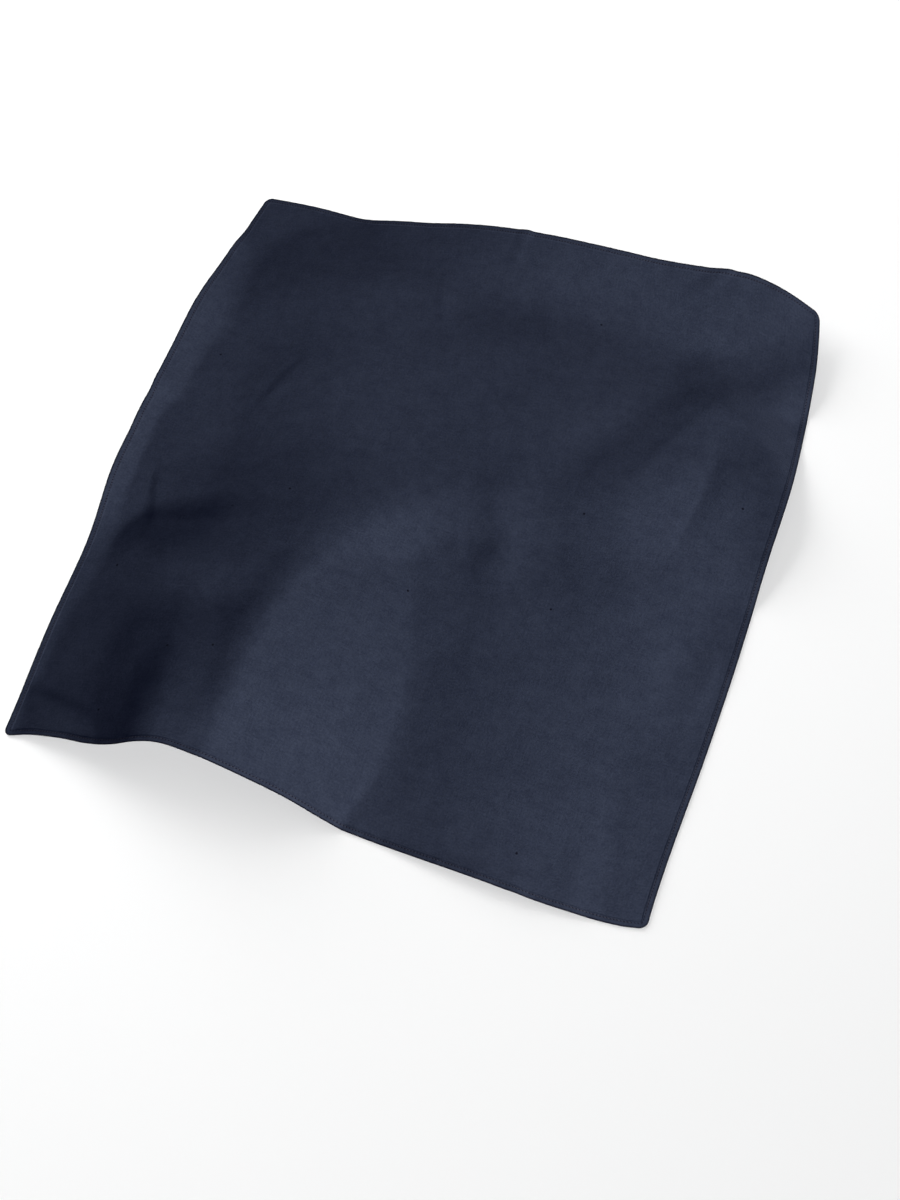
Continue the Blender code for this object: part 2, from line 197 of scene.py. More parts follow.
# The narrow creases and low swells, which only the shell has.
CREASES = {
    # The sharp short crease at the top of the tent.
    "tent_crease": [
        Fold(202, 168, 0, 20, 8, 0.5, 0.3, 0.3),
        Fold(192, 150, 0.45, 30, 9, 0.6, 0.3, 0.3),
        Fold(180, 128, 0.3, 30, 12, 0.6, 0.4, 0.3),
        Fold(170, 106, 0, 30, 16, 0.6, 0.4, 0.3),
    ],
    # The hook beside the left hem, down and then in along the lap.
    "hook": [
        Fold(-252, -50, 0, 26, 20, 0.4, 0.3, 0.3),
        Fold(-228, -52, -1.5, 30, 22, 0.6, 0.3, 0.3),
        Fold(-194, -48, -1.2, 34, 22, 0.6, 0.3, 0.3),
        Fold(-162, -38, -0.6, 34, 22, 0.6, 0.3, 0.3),
        Fold(-130, -30, 0, 34, 22, 0.6, 0.3, 0.3),
    ],
    # The short upright crease above the hook.
    "stroke": [
        Fold(-250, 8, 0, 60, 10, 0.4, 0.3, 0.2),
        Fold(-243, -14, 4, 60, 11, 0.4, 0.3, 0.2),
        Fold(-237, -36, 5, 60, 12, 0.4, 0.3, 0.2),
        Fold(-230, -52, 3, 50, 12, 0.4, 0.3, 0.2),
        Fold(-222, -64, 0, 40, 12, 0.4, 0.3, 0.2),
    ],
    # The near left corner, turned up a little under the flank.
    "corner_turn": [
        Fold(-272, -232, 0, 10, 30, 0.3, 0.3, 0.2),
        Fold(-252, -246, 2.5, 10, 34, 0.3, 0.3, 0.2),
        Fold(-222, -254, 3, 10, 34, 0.3, 0.3, 0.2),
        Fold(-198, -264, 2.5, 10, 30, 0.3, 0.3, 0.2),
        Fold(-180, -284, 0, 10, 24, 0.3, 0.3, 0.2),
    ],
    # The small lit face between the fan and the tent.
    "small_face": [
        Fold(42, 46, 0, 40, 24, 0.6, 0.2, 0.2),
        Fold(52, 20, 4.5, 50, 27, 0.6, 0.2, 0.2),
        Fold(66, -16, 4.5, 50, 34, 0.6, 0.2, 0.2),
        Fold(84, -54, 0, 44, 36, 0.6, 0.5, 0.2),
    ],
    # The fan's foot is a little undercut near the middle.
    "fan_foot": [
        Fold(8, 10, 0, 10, 22, 0.3, 0.5, 0.3),
        Fold(24, -40, -1.2, 10, 40, 0.3, 0.6, 0.3),
        Fold(34, -96, -1.6, 10, 46, 0.3, 0.6, 0.3),
        Fold(41, -160, -1.2, 10, 46, 0.3, 0.6, 0.3),
        Fold(42, -220, 0, 10, 40, 0.3, 0.6, 0.3),
    ],
    # Three short fine creases: in the middle of the far half, above the left hem's hook, and upright
    # below the far hem.
    "far_crease": [
        Fold(16, 250, 0, 12, 16, 0.5, 0.5, 0.3),
        Fold(34, 222, 0.9, 10, 18, 0.5, 0.5, 0.3),
        Fold(62, 182, 0, 12, 16, 0.5, 0.5, 0.3),
    ],
    "left_crease": [
        Fold(-156, 120, 0, 20, 8, 0.5, 0.4, 0.3),
        Fold(-168, 96, 1.1, 24, 9, 0.5, 0.4, 0.3),
        Fold(-176, 74, 1, 22, 10, 0.5, 0.4, 0.3),
        Fold(-184, 54, 0, 20, 10, 0.5, 0.4, 0.3),
    ],
    "upright_crease": [
        Fold(-66, 232, 0, 14, 8, 0.5, 0.4, 0.3),
        Fold(-60, 206, 1.3, 18, 8, 0.5, 0.4, 0.3),
        Fold(-48, 174, 0, 16, 8, 0.5, 0.4, 0.3),
    ],
    # A low hump beside the near hem.
    "near_hump": [
        Fold(196, -180, 0, 40, 40, 0.5, 0.4, 0.3),
        Fold(206, -230, 2, 44, 44, 0.5, 0.4, 0.3),
        Fold(212, -270, 2.4, 46, 46, 0.5, 0.4, 0.3),
        Fold(216, -300, 2.4, 46, 46, 0.5, 0.4, 0.3),
    ],
    # Where the crest's flank turns above the near left corner, at its foot and at its top.
    "flank_turn": [
        Fold(-186, -148, 0, 26, 26, 0.5, 0.4, 0.3),
        Fold(-190, -196, 1.2, 27, 27, 0.5, 0.4, 0.3),
        Fold(-184, -246, 1.6, 28, 28, 0.5, 0.4, 0.3),
        Fold(-176, -296, 1.6, 28, 28, 0.5, 0.4, 0.3),
    ],
    "flank_top": [
        Fold(-148, -150, 0, 28, 40, 0.4, 0.4, 0.3),
        Fold(-138, -198, 1.3, 29, 40, 0.4, 0.4, 0.3),
        Fold(-132, -248, 1.8, 34, 40, 0.4, 0.4, 0.3),
        Fold(-130, -296, 1.8, 34, 40, 0.4, 0.4, 0.3),
    ],
    # The crest is a little sharper at the upper end of the fan.
    "crest_lip": [
        Fold(-52, -24, 0, 36, 60, 0.4, 0.4, 0.3),
        Fold(-74, -70, 1.2, 44, 60, 0.4, 0.4, 0.3),
        Fold(-88, -116, 1.8, 46, 60, 0.4, 0.4, 0.3),
        Fold(-93, -162, 1.2, 44, 60, 0.4, 0.4, 0.3),
        Fold(-93, -206, 0, 40, 60, 0.4, 0.4, 0.3),
    ],
    # The near hem curls up a little below the fan.
    "near_curl": [
        Fold(-40, -310, 0, 26, 26, 0.4, 0.4, 0.2),
        Fold(4, -306, 2.4, 28, 28, 0.4, 0.4, 0.2),
        Fold(42, -302, 3, 28, 28, 0.4, 0.4, 0.2),
        Fold(86, -297, 2.2, 26, 26, 0.4, 0.4, 0.2),
        Fold(132, -293, 1.2, 24, 24, 0.4, 0.4, 0.2),
        Fold(170, -292, 0, 20, 20, 0.4, 0.4, 0.2),
    ],
    # The far right corner bends down towards the right hem.
    "corner_face": [
        Fold(204, 304, 0, 30, 70, 0.4, 0.4, 0.3),
        Fold(226, 274, 2.6, 36, 80, 0.2, 0.4, 0.3),
        Fold(238, 236, 3.2, 36, 80, 0.2, 0.4, 0.3),
        Fold(246, 196, 2.6, 32, 60, 0.2, 0.4, 0.3),
        Fold(252, 158, 0, 28, 40, 0.4, 0.4, 0.3),
    ],
    # The fan's foot turns in a little at the near hem.
    "fan_foot_end": [
        Fold(44, -232, 0, 16, 16, 0.4, 0.4, 0.3),
        Fold(34, -260, -2, 16, 18, 0.4, 0.4, 0.3),
        Fold(27, -284, -3, 16, 20, 0.4, 0.4, 0.3),
        Fold(22, -308, -3, 16, 20, 0.4, 0.4, 0.3),
    ],
    # The tent's face falls to the right hem.
    "tent_side": [
        Fold(214, 146, 0, 40, 50, 0.4, 0.4, 0.3),
        Fold(216, 100, 2, 44, 60, 0.3, 0.4, 0.3),
        Fold(214, 50, 2.6, 46, 70, 0.3, 0.4, 0.3),
        Fold(216, 0, 2.6, 46, 70, 0.3, 0.4, 0.3),
        Fold(226, -50, 2, 40, 60, 0.3, 0.4, 0.3),
        Fold(236, -96, 0, 30, 50, 0.4, 0.4, 0.3),
    ],
    # Small dips and nicks at the hems.
    "near_dip": [
        Fold(166, -302, 1.8, 8, 12, 0.4, 0.4, 0.3),
        Fold(165, -293, 1.4, 8, 12, 0.4, 0.4, 0.3),
        Fold(162, -278, 0, 10, 12, 0.4, 0.4, 0.3),
    ],
    "far_nick": [
        Fold(-6, 300, 1.6, 8, 12, 0.4, 0.4, 0.3),
        Fold(-8, 280, 1.0, 8, 12, 0.4, 0.4, 0.3),
        Fold(-10, 262, 0, 8, 12, 0.4, 0.4, 0.3),
    ],
    "rim_nick": [
        Fold(180, 296, 1.6, 8, 14, 0.4, 0.4, 0.3),
        Fold(168, 280, 1.2, 8, 14, 0.4, 0.4, 0.3),
        Fold(150, 264, 0, 8, 14, 0.4, 0.4, 0.3),
    ],
}
REST_DROP = 4.4  # the folds' sum is lowered by this much, so that the valleys lie on the surface
REST_BLEND = 1.5  # half the height over which a valley's floor turns into its slope
SPREAD_BLEND = 9.0  # how softly a point between two stretches of a curved fold shares them
SIDE_TURN = 1.3  # how fast one side of a fold takes over from the other round the fold's ends
SPAN_SAMPLES = 14  # points on a curve between two of its rows
LEAST_DISTANCE = 1e-6  # keeps a place on a fold's own curve from being divided by nothing
LEAST_SHARE = 1e-9  # the same for a place that no round corner moves

# The slight unevenness of the whole cloth: each wave's length and height in millimetres, its
# direction in degrees and its phase.
Wave = namedtuple("Wave", "length heading height phase")
UNEVENNESS = [
    Wave(118, 24, 0.22, 0.4), Wave(83, 112, 0.17, 1.9), Wave(61, 68, 0.11, 3.1),
    Wave(47, 151, 0.08, 5.0), Wave(34, 8, 0.045, 2.2), Wave(27, 95, 0.035, 0.9),
]
# The sewing draws each hem in a little, which leaves fine puckers across it.
PUCKERS = [Wave(8.3, 0, 0.050, 0.0), Wave(5.9, 0, 0.035, 1.3), Wave(13.7, 0, 0.055, 2.6)]
PUCKER_REACH = 9.0  # this far in from the outline, about a third of their height is left
PUCKER_SHIFT = {"near": 0, "far": 31, "left": 17, "right": 53}  # so that no two hems are alike

# The shell of woven cloth: its cells each way, and the heights of its two faces in millimetres
# over the underside of the CAD wall.
CLOTH_CELLS = 218
CLOTH_UNDER = 0.25
CLOTH_OVER = 0.60
CLOTH_INSET = 4.9  # the shell's edge lies inside the hem
SHARP_EDGE = math.radians(60)  # edges that turn by more than this are shaded sharp

# The hems. A section's points are in millimetres, inwards from the outline and up from the
# underside of the CAD wall.
SIDES = ("near", "right", "far", "left")
HEM_STEP = 0.65  # from one section to the next along the hem
MITRE_GAP = 0.05  # from a hem's end to the line of its mitre
HEM_UPPER = 0.5  # the section's points above this height are on its upper face
HemPoint = namedtuple("HemPoint", "inwards height")
HEM_SECTION = [
    HemPoint(0.05, 0.45), HemPoint(0.12, 0.66), HemPoint(0.32, 0.80), HemPoint(0.80, 0.86),
    HemPoint(2.20, 0.88), HemPoint(3.10, 0.88), HemPoint(3.60, 0.87), HemPoint(3.90, 0.85),
    HemPoint(4.20, 0.86), HemPoint(4.90, 0.84), HemPoint(5.35, 0.76), HemPoint(5.55, 0.58),
    HemPoint(5.55, 0.32), HemPoint(5.25, 0.14), HemPoint(2.80, 0.12), HemPoint(0.50, 0.14),
    HemPoint(0.14, 0.24),
]

# The lockstitch, in millimetres.
STITCH_INWARDS = 3.9
STITCH_PITCH = 2.6
STITCH_SHARE = 0.74  # of the pitch, which the thread lies over
STITCH_FREE = 7.8  # at least this much of each end of a hem has no stitches
STITCH_RADIUS = 0.15
STITCH_TOP = 0.86
STITCH_BOTTOM = 0.12
STITCH_SIDES = 6
STITCH_PULL = 0.06  # how far a stitch's ends draw the cloth in
STITCH_PULL_REACH = 0.35
STITCH_PULL_POWER = 3  # how sharply the pull dies away along the hem
# The rings that a stitch is made of: the share of the way along it, the share of the radius, and
# how far the ring's middle lies out from the stitch's own height.
StitchRing = namedtuple("StitchRing", "share radius out")
STITCH_RINGS = [
    StitchRing(0.0, 0.45, -0.12), StitchRing(0.2, 0.95, 0.02), StitchRing(0.5, 1.0, 0.05),
    StitchRing(0.8, 0.95, 0.02), StitchRing(1.0, 0.45, -0.12),
]

# Colours, which are linear.
NAVY_DEEP = (0.0144, 0.0180, 0.0328, 1.0)
NAVY_PALE = (0.0234, 0.0287, 0.0488, 1.0)
# Painted shade along the hem's outer fold.
HEM_EDGE_SHADE = (0.0052, 0.0058, 0.0115, 1.0)
# Painted shade in the stitch holes.
STITCH_HOLE_SHADE = (0.0065, 0.0055, 0.0120, 1.0)
THREAD_DEEP = (0.0080, 0.0075, 0.0150, 1.0)
THREAD_PALE = (0.0190, 0.0180, 0.0330, 1.0)
NEP = (0.0040, 0.0045, 0.0090, 1.0)
FLOOR_WHITE = (0.93, 0.93, 0.93, 1.0)
WHITE = (1.0, 1.0, 1.0, 1.0)
BLACK = (0.0, 0.0, 0.0, 1.0)

# The cotton's noises, in repeats for each metre of flat cloth, and their shares beside the grain's.
Noise = namedtuple("Noise", "across along detail roughness")
GRAIN = Noise(640, 640, 1.0, 0.6)
WARP = Noise(700, 95, 2.0, 0.6)
WEFT = Noise(95, 700, 2.0, 0.6)
MOTTLE = Noise(14, 14, 4.0, 0.6)
BLOTCH = Noise(75, 75, 3.0, 0.9)
STREAK_SHARE = 0.45
MOTTLE_SHARE = 0.35
BLOTCH_SHARE = 1.15

# The cotton's weave: threads for each metre, their share in the bump, and the bump's own numbers.
THREADS = 2300
THREAD_RELIEF = 0.25
BUMP_STRENGTH = 0.55
BUMP_DEPTH = 0.35  # in millimetres

# The ranges that the materials spread their values over.
Range = namedtuple("Range", "low high")
TINT_SUM = Range(1.38, 2.02)  # the noises' sum, from deep to pale
YARN_SUM = Range(0.6, 1.3)  # the yarns' sum, from rough to less rough
ROUGHNESS = Range(0.78, 0.92)
NEP_CELLS = 26  # for each metre of cloth, though few hold a nep
NEP_SIZE = Range(0.016, 0.034)  # from a nep's middle, as a share of a cell
NEP_LOT = Range(0.90, 0.91)  # the cells whose lot is over this hold one
HEM_EDGE_SHADE_FADE = Range(0.6, 1.6)  # the painted shade along the hem's outer fold ends here, in millimetres
HOLE_SHADE_SIZE = Range(0.35, 0.75)  # the painted shade at a stitch hole, from the hole's middle, in millimetres
TWISTS = 2600  # of the sewing thread, for each metre
TWIST_DETAIL = 2.0
TWIST_SHADE = Range(0.35, 0.65)

# What is the same all over each material.
COTTON_SURFACE = {
    "Metallic": 0.0,
    "Specular IOR Level": 0.02,
    "Sheen Weight": 0.08,
    "Sheen Roughness": 0.42,
    "Sheen Tint": (0.50, 0.58, 0.95, 1.0),
}
THREAD_SURFACE = {"Roughness": 0.6, "Specular IOR Level": 0.4}
FLOOR_SURFACE = {"Base Color": FLOOR_WHITE, "Roughness": 0.9, "Specular IOR Level": 0.0}
BACKDROP_SURFACE = {
    "Base Color": BLACK,
    "Specular IOR Level": 0.0,
    "Emission Color": WHITE,
    "Emission Strength": 0.9,
}

# The stage, in metres.
FLOOR_RADIUS = 1.5
FLOOR_SEGMENTS = 96
BACKDROP_RADIUS = 8.0
BACKDROP_SEGMENTS = 64
BACKDROP_RINGS = 32

# The lights: where each stands, in degrees and metres, its size in metres, its power in watts and
# its colour.
AreaLight = namedtuple("AreaLight", "name azimuth elevation distance size power colour")
KEY = AreaLight("key", -38, 26, 3.0, 0.8, 228, (1.0, 0.985, 0.88))
COOL_FILL = AreaLight("cool_fill", 148, 80, 3.0, 2.0, 13, (0.12, 0.28, 1.0))
FLOOR_LIGHT = AreaLight("floor_light", 148, 28, 3.0, 2.3, 76, (1.0, 1.0, 1.0))
FLOOR_FILL = AreaLight("floor_fill", 148, 82, 5.0, 3.0, 200, (1.0, 1.0, 1.0))
WORLD_COLOUR = (0.96, 0.98, 1.0, 1.0)
WORLD_STRENGTH = 0.07

# The camera, at the photograph's viewing angle, in millimetres. Its places are in the same frame as
# the corners and the folds.
CAMERA_PLACE = Vector((321.1, -614.7, 1161.1))
CAMERA_AIM = Vector((39.1, -69.2, 0.0))
CAMERA_ROLL = math.radians(-9.70)
CAMERA_LENS = 48.47
SENSOR = 36.0


def smooth_rows(rows):
    """Points on the Catmull-Rom curve through the rows, with every column carried along."""
    known = np.array(rows, float)
    known = np.vstack([2 * known[0] - known[1], known, 2 * known[-1] - known[-2]])
    steps = np.linspace(0, 1, SPAN_SAMPLES, endpoint=False)[:, None]
    spans = []
    for before, start, end, after in zip(known, known[1:], known[2:], known[3:]):
        spans.append(
            start
            + 0.5 * steps * (end - before)
            + steps**2 * (before - 2.5 * start + 2 * end - 0.5 * after)
            + 0.5 * steps**3 * (3 * start - before - 3 * end + after)
        )
    return np.vstack([*spans, known[-2:-1]])


def slope_profile(run, rounding, foot):
    """Height of a slope, 1 at its ridge and 0 at its foot, where run goes from 0 to 1."""
    run = np.clip(run, 0, 1)
    whole = 1 - rounding / 2 - foot / 2
    rounded = run**2 / (2 * rounding)
    straight = run - rounding / 2
    footing = whole - (1 - run) ** 2 / (2 * foot)
    drop = np.where(run < rounding, rounded, np.where(run < 1 - foot, straight, footing))
    return 1 - drop / whole


def fold_height(x, y, rows):
    """Height that one fold adds at each place. Only places within its reach are worked out."""
    spine = smooth_rows(rows)
    reach = max(max(row.left, row.right) for row in rows)
    low, high = spine[:, :2].min(0) - reach, spine[:, :2].max(0) + reach
    near = (x > low[0]) & (x < high[0]) & (y > low[1]) & (y < high[1])
    height = np.zeros(x.shape)
    if near.any():
        height[near] = fold_height_near(x[near], y[near], spine)
    return height


def fold_height_near(x, y, spine):
    """Height of a fold at places within its reach, from the nearest stretches of its curve."""
    travel = np.gradient(spine[:, :2], axis=0)
    travel /= np.linalg.norm(travel, axis=1, keepdims=True)
    east = x[..., None] - spine[:, 0]
    north = y[..., None] - spine[:, 1]
    distance = np.hypot(east, north)
    nearest = distance.min(-1)
    weight = np.exp((nearest[..., None] - distance) / SPREAD_BLEND)
    weight /= weight.sum(-1, keepdims=True)
    rightward = (east * travel[:, 1] - north * travel[:, 0]) / np.maximum(distance, LEAST_DISTANCE)
    right_share = 0.5 + 0.5 * np.clip(SIDE_TURN * (weight * rightward).sum(-1), -1, 1)
    column = {name: weight @ spine[:, i] for i, name in enumerate(Fold._fields)}
    reach = column["left"] * (1 - right_share) + column["right"] * right_share
    foot = column["left_foot"] * (1 - right_share) + column["right_foot"] * right_share
    return column["height"] * slope_profile(nearest / reach, column["rounding"], foot)


def waves_height(waves, x, y):
    """Sum of the waves at each place, lifted so that it is never below nothing."""
    total = np.zeros(x.shape)
    for wave in waves:
        heading = math.radians(wave.heading)
        run = x * math.cos(heading) + y * math.sin(heading)
        total += wave.height * (1 + np.sin(2 * math.pi * run / wave.length + wave.phase))
    return total


def relief(x, y):
    """Height of the cloth's underside over the surface, all in millimetres."""
    folds = [*FOLDS.values(), *CREASES.values()]
    height = sum(fold_height(x, y, rows) for rows in folds) - REST_DROP
    blend = (height + REST_BLEND) ** 2 / (4 * REST_BLEND)
    height = np.where(height > REST_BLEND, height, np.where(height < -REST_BLEND, 0, blend))
    return height + waves_height(UNEVENNESS, x, y)


def side_length(start, end):
    """Length of the straight line from one corner to another."""
    return math.hypot(end.x - start.x, end.y - start.y)


WIDTH = side_length(NEAR_LEFT, NEAR_RIGHT)
LENGTH = side_length(NEAR_LEFT, FAR_LEFT)


def hem_line(start, end, bows, share, outward):
    """Points on the outline between two corners; outward is 1 where out is right of the travel."""
    curve = smooth_rows(bows)
    out = np.interp(share, curve[:, 0], curve[:, 1]) * outward
    along = np.array([end.x - start.x, end.y - start.y], float)
    unit = along / np.linalg.norm(along)
    normal = np.array([unit[1], -unit[0]])
    return np.array([start.x, start.y]) + share[..., None] * along + out[..., None] * normal


def rounded_corners(across, along):
    """Moves shares near a corner inwards, so that the cloth's corners are round."""
    radius = CORNER_ROUND / WIDTH
    from_side = np.minimum(across, 1 - across)
    from_end = np.minimum(along, 1 - along)
    into_x = np.clip(radius - from_side, 0, None)
    into_y = np.clip(radius - from_end, 0, None)
    pull = np.maximum(into_x, into_y) / np.maximum(np.hypot(into_x, into_y), LEAST_SHARE)
    pull = np.where((into_x > 0) & (into_y > 0), pull, 1)
    from_side = np.where(into_x > 0, radius - into_x * pull, from_side)
    from_end = np.where(into_y > 0, radius - into_y * pull, from_end)
    return (
        np.where(across < 0.5, from_side, 1 - from_side),
        np.where(along < 0.5, from_end, 1 - from_end),
    )


def plan(across, along):
    """Places in plan at shares of the way across (left to right) and along (near to far)."""
    across, along = rounded_corners(across, along)
    near = hem_line(NEAR_LEFT, NEAR_RIGHT, NEAR_BOW, across, 1)
    far = hem_line(FAR_LEFT, FAR_RIGHT, FAR_BOW, across, -1)
    left = hem_line(NEAR_LEFT, FAR_LEFT, LEFT_BOW, along, -1)
    right = hem_line(NEAR_RIGHT, FAR_RIGHT, RIGHT_BOW, along, 1)
    s, t = across[..., None], along[..., None]
    corners = (
        (1 - s) * (1 - t) * np.array(NEAR_LEFT)
        + s * (1 - t) * np.array(NEAR_RIGHT)
        + (1 - s) * t * np.array(FAR_LEFT)
        + s * t * np.array(FAR_RIGHT)
    )
    return (1 - t) * near + t * far + (1 - s) * left + s * right - corners


def outline_middle():
    """Middle of the outline's box in plan, which is the CAD frame's origin."""
    share = np.linspace(0, 1, OUTLINE_SAMPLES)
    none, whole = np.zeros(OUTLINE_SAMPLES), np.ones(OUTLINE_SAMPLES)
    edges = [plan(share, none), plan(share, whole), plan(none, share), plan(whole, share)]
    points = np.vstack(edges)
    return (points.min(0) + points.max(0)) / 2


MIDDLE = outline_middle()


def puckers(across, along):
    """Height of the hems' puckers, which run in from each hem and die away."""
    lift = np.zeros(across.shape)
    for side, share, length, run in (
        ("near", along, LENGTH, across * WIDTH),
        ("far", 1 - along, LENGTH, across * WIDTH),
        ("left", across, WIDTH, along * LENGTH),
        ("right", 1 - across, WIDTH, along * LENGTH),
    ):
        fade = np.exp(-share * length / PUCKER_REACH)
        lift += fade * waves_height(PUCKERS, run + PUCKER_SHIFT[side], np.zeros(run.shape))
    return lift


def cloth_points(across, along, over):
    """Points in metres, in the CAD frame, at heights in millimetres over the wall's underside."""
    place = plan(across, along)
    height = relief(place[..., 0], place[..., 1]) + puckers(across, along) + over
    return np.concatenate([place - MIDDLE, height[..., None]], axis=-1) * MM


def rest_map(across, along):
    """Where each point is on the flat cloth, in metres."""
    return np.stack([across * WIDTH * MM, along * LENGTH * MM], axis=-1)


def hem_length(side):
    """Straight length of one side of the cloth."""
    return WIDTH if side in ("near", "far") else LENGTH


def hem_shares(side, run, inwards):
    """Shares across and along of places on one hem's strip, whose ends are mitred."""
    if side in ("near", "far"):
        mitre = (inwards + MITRE_GAP) / WIDTH
        across = mitre + run * (1 - 2 * mitre)
        along = inwards / LENGTH
        return across, 1 - along if side == "far" else along
    mitre = (inwards + MITRE_GAP) / LENGTH
    along = mitre + run * (1 - 2 * mitre)
    across = inwards / WIDTH
    return 1 - across if side == "right" else across, along


def make_piece(name, points, faces, maps, material):
    """A smooth mesh that rides on the part, with its faces turned outwards."""
    mesh = bpy.data.meshes.new(name)
    mesh.from_pydata(points.reshape(-1, 3).tolist(), [], faces)
    point_of_loop = np.empty(len(mesh.loops), int)
    mesh.loops.foreach_get("vertex_index", point_of_loop)
    for map_name, places in maps.items():
        layer = mesh.uv_layers.new(name=map_name)
        layer.data.foreach_set("uv", places.reshape(-1, 2)[point_of_loop].ravel())
    shape = bmesh.new()
    shape.from_mesh(mesh)
    bmesh.ops.recalc_face_normals(shape, faces=shape.faces)
    shape.to_mesh(mesh)
    shape.free()
    mesh.shade_smooth()
    mesh.set_sharp_from_angle(angle=SHARP_EDGE)
    mesh.materials.append(material)
    piece = bpy.data.objects.new(name, mesh)
    bpy.context.scene.collection.objects.link(piece)
    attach(piece, "root")
    return piece


def grid_faces(rows, columns, first=0):
    """Quads of a grid of points, as lists of point numbers."""
    index = first + np.arange(rows * columns).reshape(rows, columns)
    quads = [index[:-1, :-1], index[:-1, 1:], index[1:, 1:], index[1:, :-1]]
    return np.stack(quads, axis=-1).reshape(-1, 4).tolist()


def make_cloth(material):
    """The woven square, a closed thin shell whose edge lies inside the hems."""
    across = np.linspace(CLOTH_INSET / WIDTH, 1 - CLOTH_INSET / WIDTH, CLOTH_CELLS + 1)
    along = np.linspace(CLOTH_INSET / LENGTH, 1 - CLOTH_INSET / LENGTH, CLOTH_CELLS + 1)
    across, along = np.meshgrid(across, along)
    count = across.size
    under = cloth_points(across, along, CLOTH_UNDER)
    over = under + np.array([0, 0, (CLOTH_OVER - CLOTH_UNDER) * MM])
    faces = grid_faces(*across.shape) + grid_faces(*across.shape, first=count)
    index = np.arange(count).reshape(across.shape)
    rim = [*index[0], *index[1:, -1], *index[-1, -2::-1], *index[-2:0:-1, 0]]
    for this, following in zip(rim, rim[1:] + rim[:1]):
        faces.append([int(i) for i in (this, following, count + following, count + this)])
    flat = rest_map(across, along)
    maps = {"rest": np.stack([flat, flat])}
    return make_piece("bandana_cloth", np.stack([under, over]), faces, maps, material)


def first_stitch(side):
    """How many stitches a hem has, and how far along it the first one starts."""
    length = hem_length(side)
    count = int((length - 2 * STITCH_FREE) / STITCH_PITCH)
    return count, (length - count * STITCH_PITCH) / 2


def make_hem(side, material):
    """One turned hem: its section, swept along its side of the cloth."""
    length = hem_length(side)
    section = np.array(HEM_SECTION)
    inwards, run = np.meshgrid(section[:, 0], np.linspace(0, 1, int(length / HEM_STEP) + 1))
    over = np.broadcast_to(section[:, 1], inwards.shape)
    from_stitch = run * length - first_stitch(side)[1]
    near_line = np.exp(-(((inwards - STITCH_INWARDS) / STITCH_PULL_REACH) ** 2))
    near_hole = 0.5 + 0.5 * np.cos(2 * math.pi * from_stitch / STITCH_PITCH)
    pull = STITCH_PULL * near_line * near_hole**STITCH_PULL_POWER
    over = np.where(over > HEM_UPPER, over - pull, over)
    across, along = hem_shares(side, run, inwards)
    points = cloth_points(across, along, over)
    rows, columns = inwards.shape
    index = np.arange(rows * columns).reshape(rows, columns)
    following = np.roll(index, -1, axis=1)
    walls = np.stack([index[:-1], following[:-1], following[1:], index[1:]], axis=-1)
    faces = [*walls.reshape(-1, 4).tolist(), index[0].tolist(), index[-1].tolist()]
    maps = {
        "rest": rest_map(across, along),
        "hem": np.stack([from_stitch, inwards], axis=-1) * MM,
    }
    return make_piece(f"bandana_hem_{side}", points, faces, maps, material)


def stitch_rings(side, over, outward):
    """Ring points of every stitch on one face of one hem."""
    count, first = first_stitch(side)
    starts = first + STITCH_PITCH * (np.arange(count) + (1 - STITCH_SHARE) / 2)
    rings = np.array(STITCH_RINGS)
    run = (starts[:, None] + rings[:, 0] * STITCH_PITCH * STITCH_SHARE) / hem_length(side)
    inwards = np.full(run.shape, STITCH_INWARDS)
    height = np.broadcast_to(over + outward * rings[:, 2], run.shape)
    middle = cloth_points(*hem_shares(side, run, inwards), height)
    travel = middle[:, -1:] - middle[:, :1]
    travel = travel / np.linalg.norm(travel, axis=-1, keepdims=True)
    sideways = np.cross(travel, [0, 0, 1])
    upward = np.cross(sideways, travel)
    angle = np.linspace(0, 2 * math.pi, STITCH_SIDES, endpoint=False)
    radius = (rings[:, 1] * STITCH_RADIUS * MM)[None, :, None, None]
    turn = sideways[:, :, None] * np.cos(angle)[:, None] + upward[:, :, None] * np.sin(angle)[:, None]
    return middle[:, :, None] + radius * turn


def make_stitches(material):
    """The lockstitch along the hems, on both faces, as one joined mesh."""
    faces_over = [(STITCH_TOP, 1), (STITCH_BOTTOM, -1)]
    rings = [stitch_rings(side, over, outward) for side in SIDES for over, outward in faces_over]
    points = np.concatenate(rings)
    ring_count = len(STITCH_RINGS)
    faces = []
    for stitch in range(len(points)):
        first = stitch * ring_count * STITCH_SIDES
        for ring in range(ring_count - 1):
            start = first + ring * STITCH_SIDES
            for i in range(STITCH_SIDES):
                j = (i + 1) % STITCH_SIDES
                faces.append([start + i, start + j, start + STITCH_SIDES + j, start + STITCH_SIDES + i])
        faces.append([first + i for i in range(STITCH_SIDES)])
        last = first + (ring_count - 1) * STITCH_SIDES
        faces.append([last + i for i in range(STITCH_SIDES)])
    return make_piece("bandana_stitches", points, faces, {}, material)


def new_material(name, surface):
    """A material whose shader has these values, with its node tree and its shader."""
    material = bpy.data.materials.new(name)
    material.use_nodes = True
    shader = material.node_tree.nodes["Principled BSDF"]
    for socket, value in surface.items():
        shader.inputs[socket].default_value = value
    return material, material.node_tree, shader


def add_node(tree, kind, inputs=(), **settings):
    """A shader node. Each input is a value or another node's output."""
    node = tree.nodes.new(kind)
    for name, value in settings.items():
        setattr(node, name, value)
    for key, value in dict(inputs).items():
        if isinstance(value, bpy.types.NodeSocket):
            tree.links.new(value, node.inputs[key])
        else:
            node.inputs[key].default_value = value
    return node


def calculate(tree, operation, *values):
    """The result of one sum on values or other nodes' outputs."""
    return add_node(tree, "ShaderNodeMath", enumerate(values), operation=operation).outputs[0]


